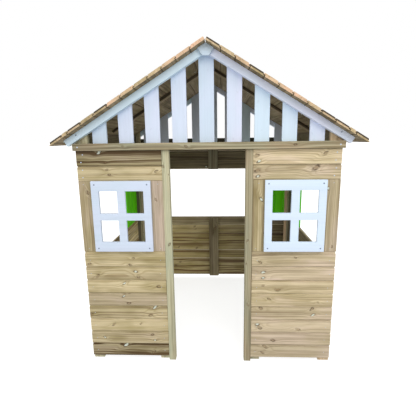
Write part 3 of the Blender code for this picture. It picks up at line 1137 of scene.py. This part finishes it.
def build_beam_screws():
    """One screw at each end of the headers, and one at the foot of each rafter."""
    from_end, up_rafter, off_edge = 0.028, 0.092, 0.0135
    for wall, outward in WALLS:
        piece = Piece()
        header_low, header_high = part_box(f"{wall}_header")
        face = header_low.y if wall == "front" else header_high.y
        middle = (header_low.z + header_high.z) / 2.0
        for sign in SIDES.values():
            place = Vector((sign * (header_high.x - from_end), face, middle))
            add_head(piece, place, outward, SCREW_RADIUS, True)
        for side, sign in SIDES.items():
            low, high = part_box(f"{wall}_{side}_rafter")
            _, down, under = slope_lines(side)
            foot = Vector((sign * max(abs(low.x), abs(high.x)), face, low.z))
            place = foot - down * up_rafter - under * off_edge
            add_head(piece, place, outward, SCREW_RADIUS, True, DULL)
        piece.finish(f"screws_{wall}_beams", ZINC)


def nail_rows(piece, node, batten, outward, tops, per_board, radius=BRAD_RADIUS):
    """Nails through level boards into a batten behind them. tops are the boards' upper edges, and
    per_board the heights of the nails as shares of a board's."""
    batten_low, batten_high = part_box(batten)
    low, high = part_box(node)
    middle = (batten_low + batten_high) / 2.0
    bottom = 0.0
    for top in tops:
        for share in per_board:
            up = low.z + bottom + (top - bottom) * share
            jitter = random.uniform(-0.006, 0.006)
            if abs(outward.y) > 0.5:
                face = low.y if outward.y < 0.0 else high.y
                place = Vector((middle.x + jitter, face, up))
            else:
                face = low.x if outward.x < 0.0 else high.x
                place = Vector((face, middle.y + jitter, up))
            add_head(piece, place, outward, radius)
        bottom = top


def nail_wall(name, wall, battens, outward):
    """Brads through the boards below and above a wall's opening."""
    lower, upper = f"{wall}_lower_boards", f"{wall}_upper_boards"
    tops = equal_tops(lower, SILL_BOARDS)
    piece = Piece()
    for batten in battens:
        nail_rows(piece, lower, batten, outward, tops, ONE_NAIL)
        nail_rows(piece, upper, batten, outward, [height_of(upper)], (0.2, 0.5, 0.8))
    piece.finish(name, ZINC)


def build_nails():
    piece = Piece()
    for side in SIDES:
        corner, inner = f"front_{side}_corner_batten", f"front_{side}_inner_batten"
        node = f"front_{side}_lower_boards"
        tops = equal_tops(node, FRONT_SILL_BOARDS, BARE_LIP)
        nail_rows(piece, node, corner, FRONT, tops, ONE_NAIL)
        nail_rows(piece, node, inner, FRONT, tops, ONE_NAIL)
        node = f"front_{side}_upper_boards"
        tops = equal_tops(node, FRONT_HEAD_BOARDS)
        nail_rows(piece, node, corner, FRONT, tops, (0.24, 0.74), NAIL_RADIUS)
        for place, batten in (("outer", corner), ("inner", inner)):
            node = f"front_{side}_{place}_jamb_board"
            nail_rows(piece, node, batten, FRONT, [height_of(node)], (0.04, 0.955))
    piece.finish("nails_front_wall", ZINC)
    posts = ("left_corner", "centre", "right_corner")
    nail_wall("nails_back_wall", "back", [f"back_{post}_batten" for post in posts], BACK)
    for side, outward in (("left", LEFT), ("right", RIGHT)):
        battens = [f"{side}_side_{end}_batten" for end in ("front", "back")]
        nail_wall(f"nails_{side}_side", f"{side}_side", battens, outward)


# ---- studio


def new_object(name, data):
    obj = bpy.data.objects.new(name, data)
    bpy.context.scene.collection.objects.link(obj)
    return obj


def build_floor():
    """A pale floor that stays near white under the house too, as on a lit studio table."""
    reach = 200.0
    mesh = bpy.data.meshes.new("studio_floor")
    corners = [(-reach, -reach, 0.0), (reach, -reach, 0.0), (reach, reach, 0.0), (-reach, reach, 0.0)]
    mesh.from_pydata(corners, [], [(0, 1, 2, 3)])
    net = Wiring("studio_floor")
    net.finish("Base Color", (0.5, 0.5, 0.5, 1.0))
    net.finish("Roughness", 0.95)
    net.finish("Specular IOR Level", 0.0)
    net.finish("Emission Color", (1.0, 1.0, 1.0, 1.0))
    net.finish("Emission Strength", 0.78)
    mesh.materials.append(net.material)
    floor = new_object("studio_floor", mesh)
    floor.visible_diffuse = False


def area_light(name, place, target, size, power):
    lamp = bpy.data.lights.new(name, "AREA")
    lamp.shape = "SQUARE"
    lamp.size = size
    lamp.energy = power
    obj = new_object(name, lamp)
    obj.location = place
    obj.rotation_mode = "QUATERNION"
    obj.rotation_quaternion = (target - obj.location).to_track_quat("-Z", "Y")


def build_light():
    """Even white light from all round, and soft boxes in front, stronger on the right."""
    world = bpy.data.worlds.new("studio")
    bpy.context.scene.world = world
    world.use_nodes = True
    nodes, links = world.node_tree.nodes, world.node_tree.links
    direction = nodes.new("ShaderNodeTexCoord")
    parts = nodes.new("ShaderNodeSeparateXYZ")
    links.new(direction.outputs["Generated"], parts.inputs[0])
    lift = nodes.new("ShaderNodeMapRange")
    lift.inputs["From Min"].default_value = -1.0
    links.new(parts.outputs["Z"], lift.inputs["Value"])
    ramp = nodes.new("ShaderNodeValToRGB")
    links.new(lift.outputs[0], ramp.inputs[0])
    steps = ramp.color_ramp.elements
    steps[0].position, steps[0].color = 0.4, (0.52, 0.52, 0.52, 1.0)
    steps[1].position, steps[1].color = 0.495, (1.0, 1.0, 1.0, 1.0)
    for position, strength in ((0.7, 1.0), (0.85, 1.25)):
        steps.new(position).color = (strength, strength, strength, 1.0)
    links.new(ramp.outputs[0], nodes["Background"].inputs["Color"])
    middle = (cad_low + cad_high) / 2.0
    area_light("key_light", (1.8, -4.2, 3.4), middle, 2.0, 48.0)
    area_light("fill_light", (-2.4, -4.8, 2.4), middle, 2.4, 16.0)
    bpy.context.scene.view_settings.view_transform = "Standard"


def build_camera():
    """In front of the doorway at a grown-up's chest height, tilted down a little."""
    place = Vector((0.0797, -2.4941, 1.3403))
    yaw, pitch, roll = -0.0425, 0.2036, -0.0129
    lens_share = 0.810168  # focal length as a share of the picture's width
    data = bpy.data.cameras.new("camera")
    data.sensor_width = 36.0
    data.lens = lens_share * data.sensor_width
    camera = new_object("camera", data)
    turn = Matrix.Rotation(-yaw, 4, "Z") @ Matrix.Rotation(math.pi / 2.0 - pitch, 4, "X")
    camera.matrix_world = Matrix.Translation(place) @ turn @ Matrix.Rotation(roll, 4, "Z")
    bpy.context.scene.camera = camera


build_front()
build_back()
build_side("left", LEFT)
build_side("right", RIGHT)
build_green_panels()
build_frame()
build_gables()
build_window_frames()
build_roof()
build_roof_battens()
build_window_screws()
build_beam_screws()
build_nails()
build_floor()
build_light()
build_camera()
